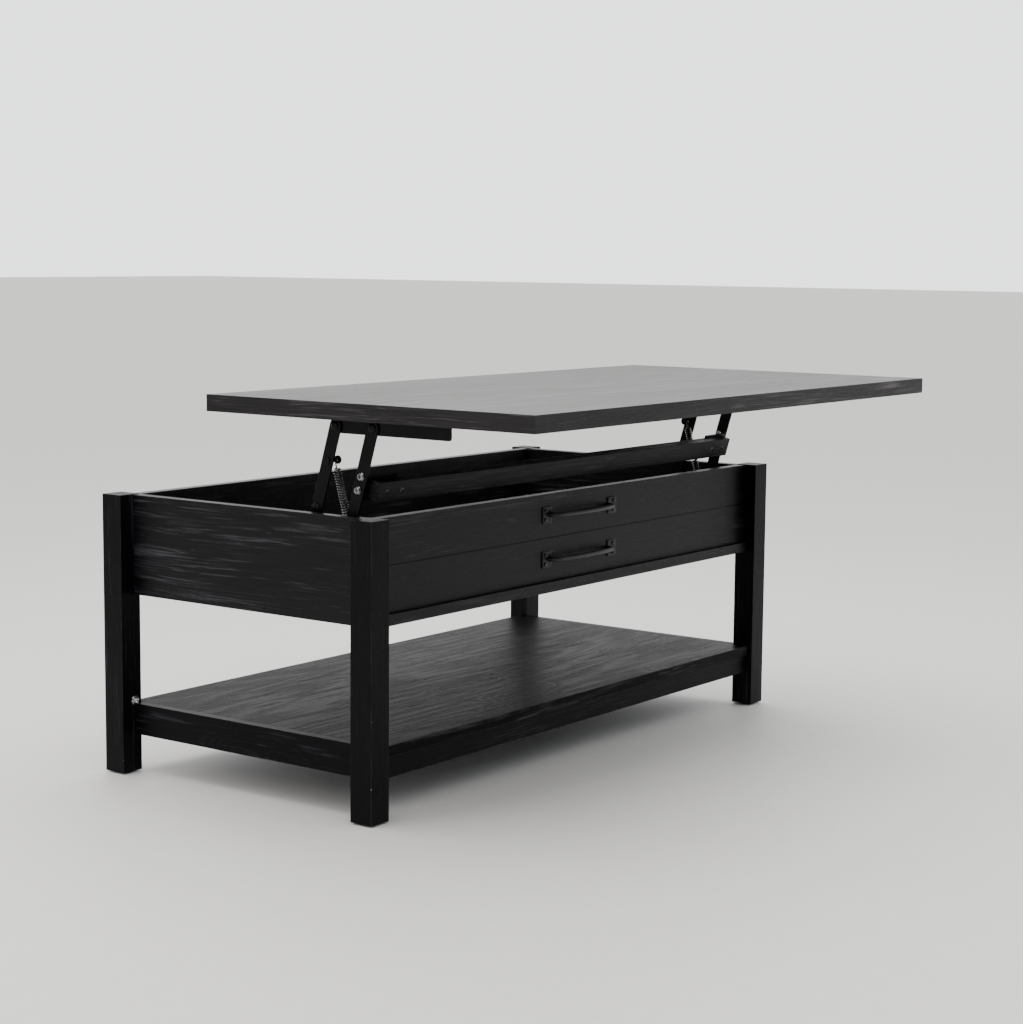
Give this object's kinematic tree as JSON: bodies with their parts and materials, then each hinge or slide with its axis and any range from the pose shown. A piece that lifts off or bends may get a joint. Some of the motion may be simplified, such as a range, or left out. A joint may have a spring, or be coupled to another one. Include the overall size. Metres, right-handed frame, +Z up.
{
  "type": "lift top coffee table",
  "caption": "Rectangular coffee table whose top lifts up and forward on two spring-assisted linkages over a storage compartment, with a lower shelf and two front pulls.",
  "frame": {"origin": "on the floor, at the middle of the outline that the table covers with its top raised; the middle of the four legs is 141.5 mm behind it", "axes": "+X along the table, -Y towards the front with the pulls, +Z up"},
  "size_m": [1.1, 0.808, 0.5843],
  "materials": {
    "laminate": "near-black charcoal wood-grain laminate over board, satin",
    "edge_band": "streaked charcoal edge banding, satin",
    "mechanism_steel": "satin black paint on pressed steel",
    "pull_metal": "satin black paint on cast metal",
    "zinc_steel": "bright zinc plating",
    "black_screw": "black oxide",
    "spring_steel": "dark oiled spring wire",
    "dowel_wood": "raw beech",
    "glide_plastic": "moulded black plastic"
  },
  "bodies": {
    "base": {"leg_front_left": "laminate", "leg_front_right": "laminate", "leg_back_left": "laminate", "leg_back_right": "laminate", "leg_glides": "glide_plastic", "leg_inserts": "zinc_steel", "side_apron_left": "laminate", "side_apron_right": "laminate", "back_apron": "laminate", "front_panel": "laminate", "compartment_floor": "laminate", "shelf": "laminate", "shelf_rail_left": "laminate", "shelf_rail_right": "laminate", "shelf_rail_front": "laminate", "shelf_rail_back": "laminate", "cam_bolts": "zinc_steel", "cam_locks": "zinc_steel", "dowels": "dowel_wood", "floor_screws": "black_screw", "shelf_screws": "black_screw", "pull_upper": "pull_metal", "pull_lower": "pull_metal", "pull_screws": "black_screw", "lift_plate_left": "mechanism_steel", "lift_plate_right": "mechanism_steel", "lift_plate_screws": "black_screw", "lower_pivot_pins": "mechanism_steel", "stop_pins": "mechanism_steel", "spring_anchors": "mechanism_steel"},
    "lift_frame": {"front_arm_left": "mechanism_steel", "front_arm_right": "mechanism_steel", "crossbar": "laminate", "crossbar_bracket_left": "mechanism_steel", "crossbar_bracket_right": "mechanism_steel", "arm_bolts": "zinc_steel", "crossbar_screws": "black_screw"},
    "top": {"top_panel": "laminate", "top_band_left": "edge_band", "top_band_right": "edge_band", "top_band_front": "edge_band", "top_band_back": "edge_band", "top_bracket_left": "mechanism_steel", "top_bracket_right": "mechanism_steel", "top_bracket_screws": "black_screw", "upper_pivot_pins": "mechanism_steel"},
    "rear_arm_left": {"rear_arm_left": "mechanism_steel", "spring_stud_left": "mechanism_steel", "rear_arm_rivet_left": "mechanism_steel"},
    "spring_left": {"spring_left": "spring_steel"},
    "spring_hook_left": {"spring_hook_left": "spring_steel"},
    "rear_arm_right": {"rear_arm_right": "mechanism_steel", "spring_stud_right": "mechanism_steel", "rear_arm_rivet_right": "mechanism_steel"},
    "spring_right": {"spring_right": "spring_steel"},
    "spring_hook_right": {"spring_hook_right": "spring_steel"}
  },
  "joints": [
    {"name": "lift_swing", "type": "hinge", "parent": "base", "child": "lift_frame", "pos_m": [0, -0.01973, 0.34371], "axis": [-1, 0, 0], "range_deg": [0, 88.1]},
    {"name": "top_level", "type": "hinge", "parent": "lift_frame", "child": "top", "pos_m": [0, -0.07867, 0.54527], "axis": [-1, 0, 0], "range_deg": [-88.1, 0]},
    {"name": "rear_arm_left_swing", "type": "hinge", "parent": "base", "child": "rear_arm_left", "pos_m": [-0.4805, 0.04797, 0.34371], "axis": [-1, 0, 0], "range_deg": [0, 88.1]},
    {"name": "spring_left_swing", "type": "hinge", "parent": "base", "child": "spring_left", "pos_m": [-0.4655, -0.04503, 0.32195], "axis": [-1, 0, 0], "range_deg": [0, 58.07]},
    {"name": "spring_left_stretch", "type": "slide", "parent": "spring_left", "child": "spring_hook_left", "axis": [0, 0.2696, 0.963], "range_m": [0, 0.07341], "deforming": ["spring_left", "spring_hook_left"]},
    {"name": "rear_arm_right_swing", "type": "hinge", "parent": "base", "child": "rear_arm_right", "pos_m": [0.4805, 0.04797, 0.34371], "axis": [-1, 0, 0], "range_deg": [0, 88.1]},
    {"name": "spring_right_swing", "type": "hinge", "parent": "base", "child": "spring_right", "pos_m": [0.4655, -0.04503, 0.32195], "axis": [-1, 0, 0], "range_deg": [0, 58.07]},
    {"name": "spring_right_stretch", "type": "slide", "parent": "spring_right", "child": "spring_hook_right", "axis": [0, 0.2696, 0.963], "range_m": [0, 0.07341], "deforming": ["spring_right", "spring_hook_right"]}
  ],
  "couplings": [
    {"joint": "top_level", "follows": "lift_swing", "ratio": -1},
    {"joint": "rear_arm_left_swing", "follows": "lift_swing", "ratio": 1},
    {"joint": "spring_left_swing", "follows": "lift_swing", "ratio": 0.65896},
    {"joint": "spring_left_stretch", "follows": "lift_swing", "m_per_rad": 0.047611},
    {"joint": "rear_arm_right_swing", "follows": "lift_swing", "ratio": 1},
    {"joint": "spring_right_swing", "follows": "lift_swing", "ratio": 0.65896},
    {"joint": "spring_right_stretch", "follows": "lift_swing", "m_per_rad": 0.047611}
  ]
}
